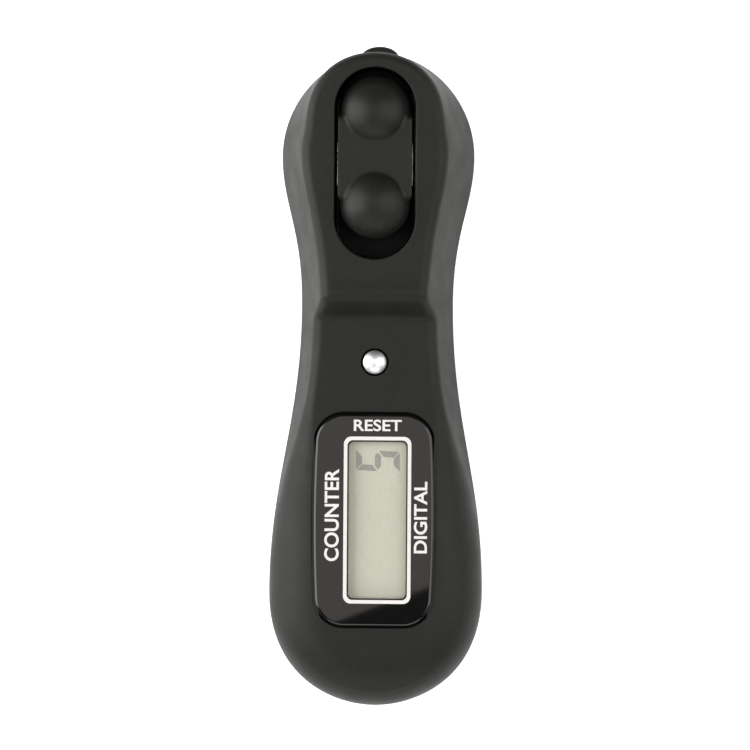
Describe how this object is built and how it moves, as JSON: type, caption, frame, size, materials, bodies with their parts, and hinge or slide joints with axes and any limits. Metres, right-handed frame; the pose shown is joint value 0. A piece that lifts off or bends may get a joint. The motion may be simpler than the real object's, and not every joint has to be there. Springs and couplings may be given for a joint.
{
  "type": "hand tally counter",
  "caption": "Palm-sized electronic tally counter: waisted matt casing, raised head with a two-pad rocker, small reset button, LCD in a gloss bezel, twist-off battery cover.",
  "frame": {"origin": "middle of the overall length and width, on the surface that the back lies on", "axes": "+Y along the body towards the head and the lanyard lug, +Z out of the display side, +X to the right as the display side is seen with the head at the top"},
  "size_m": [0.0354, 0.11, 0.0278],
  "materials": {
    "casing": "black plastic with a soft matt coat and a very fine grain",
    "rocker": "black plastic, soft matt",
    "chromed": "bright chrome plating",
    "bezel": "polished black acrylic",
    "window": "clear acrylic",
    "lcd_glass": "glass under a matt polariser",
    "reflector": "satin foil",
    "nylon": "natural moulded nylon",
    "zebra": "layered silicone rubber",
    "board": "green solder mask on glass-epoxy board",
    "epoxy": "cast black epoxy",
    "capacitor": "tan ceramic",
    "resistor": "black film on ceramic",
    "plunger": "black moulded plastic",
    "steel": "plain bright steel",
    "nickel": "nickel-plated spring strip"
  },
  "bodies": {
    "casing": {"front_shell": "casing", "back_shell": "casing", "rocker_pin": "steel", "display_bezel": "bezel", "display_window": "window", "lcd_front_glass": "lcd_glass", "lcd_rear_glass": "lcd_glass", "lcd_reflector": "reflector", "lcd_frame": "nylon", "zebra_strip": "zebra", "main_board": "board", "chip_blob": "epoxy", "capacitor_1": "capacitor", "capacitor_2": "capacitor", "resistor_1": "resistor", "up_switch_base": "nylon", "down_switch_base": "nylon", "reset_switch_base": "nylon", "up_switch_cover": "steel", "down_switch_cover": "steel", "reset_switch_cover": "steel", "battery_holder": "nylon", "button_cell": "steel", "contact_negative": "nickel", "contact_positive": "nickel", "board_screw_1": "steel", "board_screw_2": "steel", "board_screw_3": "steel", "board_screw_4": "steel", "case_screw_1": "steel", "case_screw_2": "steel", "case_screw_3": "steel", "case_screw_4": "steel"},
    "rocker": {"count_rocker": "rocker"},
    "up_key": {"up_plunger": "plunger"},
    "down_key": {"down_plunger": "plunger"},
    "reset": {"reset_button": "chromed"},
    "reset_key": {"reset_plunger": "plunger"},
    "cover": {"battery_cover": "casing"}
  },
  "joints": [
    {"name": "rocker_tilt", "type": "hinge", "parent": "casing", "child": "rocker", "pos_m": [0, 0.0357, 0.0212], "axis": [1, 0, 0], "range_deg": [-3.5, 3.5], "stiffness_Nm_per_rad": 0.18},
    {"name": "up_press", "type": "slide", "parent": "casing", "child": "up_key", "axis": [0, 0, 1], "range_m": [-0.0005, 0.0005]},
    {"name": "down_press", "type": "slide", "parent": "casing", "child": "down_key", "axis": [0, 0, 1], "range_m": [-0.0005, 0.0005]},
    {"name": "reset_press", "type": "slide", "parent": "casing", "child": "reset", "axis": [0, 0, 1], "range_m": [-0.0005, 0], "stiffness_N_per_m": 1600},
    {"name": "reset_key_press", "type": "slide", "parent": "casing", "child": "reset_key", "axis": [0, 0, 1], "range_m": [-0.0005, 0]},
    {"name": "cover_turn", "type": "hinge", "parent": "casing", "child": "cover", "pos_m": [0, -0.032, 0.001], "axis": [0, 0, 1], "range_deg": [0, 40]}
  ],
  "couplings": [
    {"joint": "up_press", "follows": "rocker_tilt", "m_per_rad": 0.00752},
    {"joint": "down_press", "follows": "rocker_tilt", "m_per_rad": -0.00752},
    {"joint": "reset_key_press", "follows": "reset_press", "ratio": 1}
  ]
}
